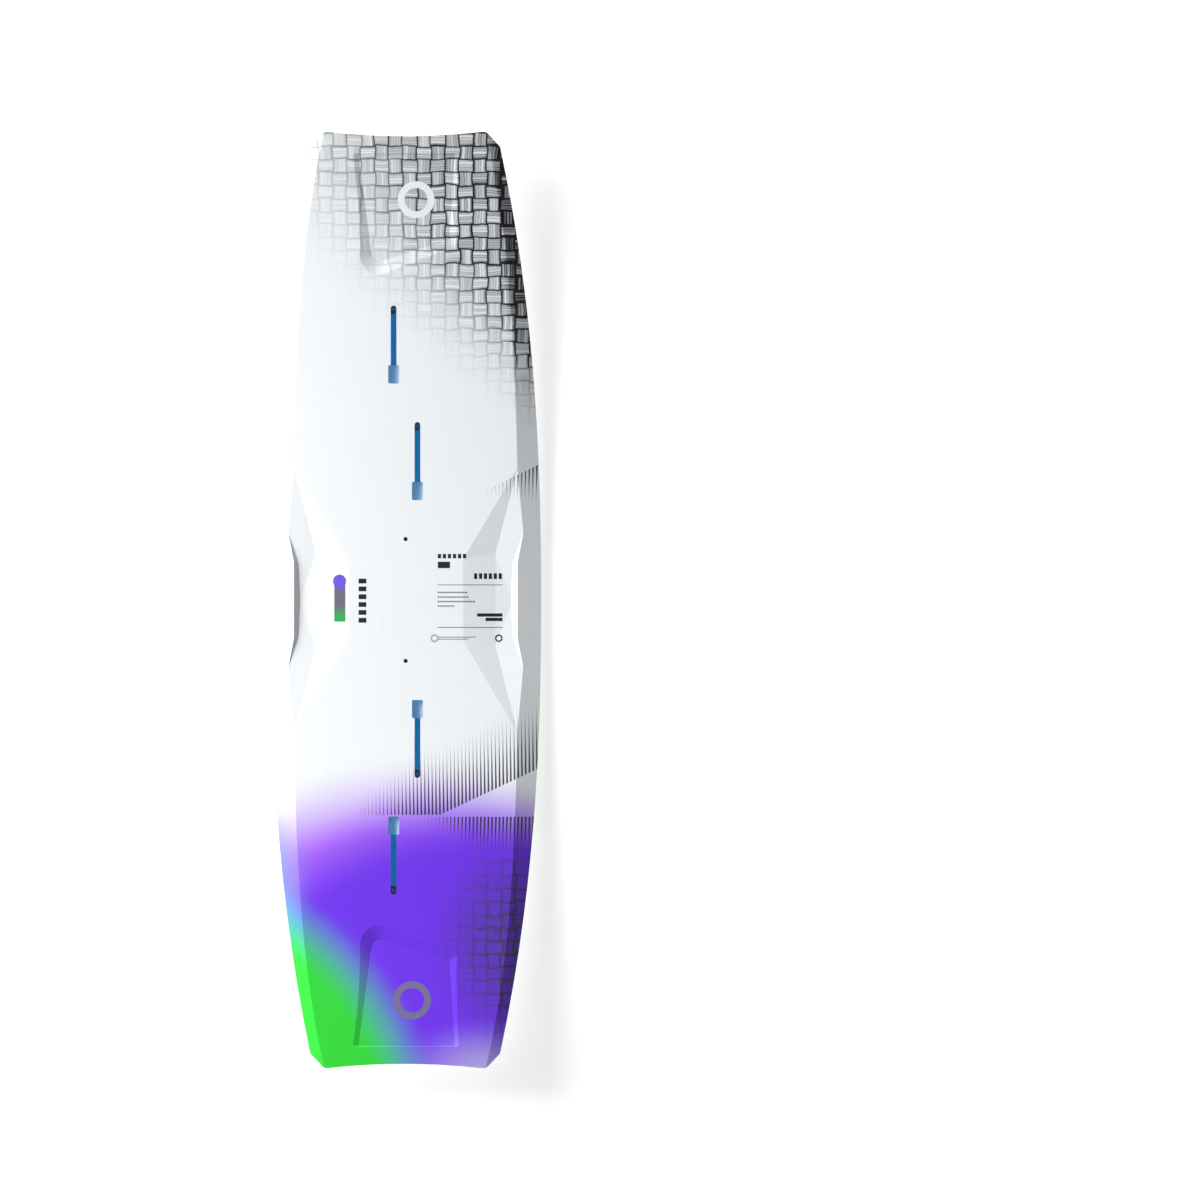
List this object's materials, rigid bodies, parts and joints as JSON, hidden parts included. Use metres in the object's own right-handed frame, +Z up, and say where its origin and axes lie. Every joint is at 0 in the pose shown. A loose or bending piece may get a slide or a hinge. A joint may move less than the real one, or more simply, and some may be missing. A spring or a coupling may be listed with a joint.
{
  "type": "kiteboard",
  "caption": "Flat twin-tip kiteboard with rocker, bevelled deck, side scoops, tip recesses, faceted base, slotted tracks with sliding tee nuts and a threaded handle mount.",
  "frame": {"origin": "under the middle of the board, level with the lowest points of the base", "axes": "+X across the board towards the toe side, +Y along it towards the nose, +Z up out of the deck"},
  "size_m": [0.4, 1.379, 0.0498],
  "materials": {
    "deck_print": "satin printed film",
    "base_print": "gloss printed film",
    "glass_laminate": "resin-filled glass cloth",
    "abs_rail": "sanded",
    "poplar": "planed",
    "paulownia": "planed",
    "track_plastic": "moulded",
    "nut_steel": "satin",
    "insert_brass": "turned"
  },
  "bodies": {
    "board": {"base_sheet": "base_print", "base_laminate": "glass_laminate", "deck_laminate": "glass_laminate", "deck_sheet": "deck_print", "toe_rail": "abs_rail", "heel_rail": "abs_rail", "nose_rail": "abs_rail", "tail_rail": "abs_rail", "core_centre_middle": "poplar", "core_centre_nose": "poplar", "core_centre_tail": "poplar", "core_block_nose_inner": "poplar", "core_block_nose_outer": "poplar", "core_block_tail_inner": "poplar", "core_block_tail_outer": "poplar", "core_stringer_toe_1": "paulownia", "core_stringer_heel_1": "paulownia", "core_stringer_toe_2": "paulownia", "core_stringer_heel_2": "paulownia", "core_stringer_toe_3": "paulownia", "core_stringer_heel_3": "paulownia", "core_stringer_toe_4": "paulownia", "core_stringer_heel_4": "paulownia", "track_nose_inner": "track_plastic", "track_nose_outer": "track_plastic", "track_tail_inner": "track_plastic", "track_tail_outer": "track_plastic", "handle_insert_nose": "insert_brass", "handle_insert_tail": "insert_brass"},
    "track_nut_nose_inner": {"track_nut_nose_inner": "nut_steel"},
    "track_nut_nose_outer": {"track_nut_nose_outer": "nut_steel"},
    "track_nut_tail_inner": {"track_nut_tail_inner": "nut_steel"},
    "track_nut_tail_outer": {"track_nut_tail_outer": "nut_steel"}
  },
  "joints": [
    {"name": "track_nut_slide_nose_inner", "type": "slide", "parent": "board", "child": "track_nut_nose_inner", "axis": [0, -0.9995, -0.0319], "range_m": [0, 0.0957]},
    {"name": "track_nut_slide_nose_outer", "type": "slide", "parent": "board", "child": "track_nut_nose_outer", "axis": [0, -0.9983, -0.0585], "range_m": [0, 0.0957]},
    {"name": "track_nut_slide_tail_inner", "type": "slide", "parent": "board", "child": "track_nut_tail_inner", "axis": [0, 0.9995, -0.0319], "range_m": [0, 0.0957]},
    {"name": "track_nut_slide_tail_outer", "type": "slide", "parent": "board", "child": "track_nut_tail_outer", "axis": [0, 0.9983, -0.0585], "range_m": [0, 0.0957]}
  ]
}
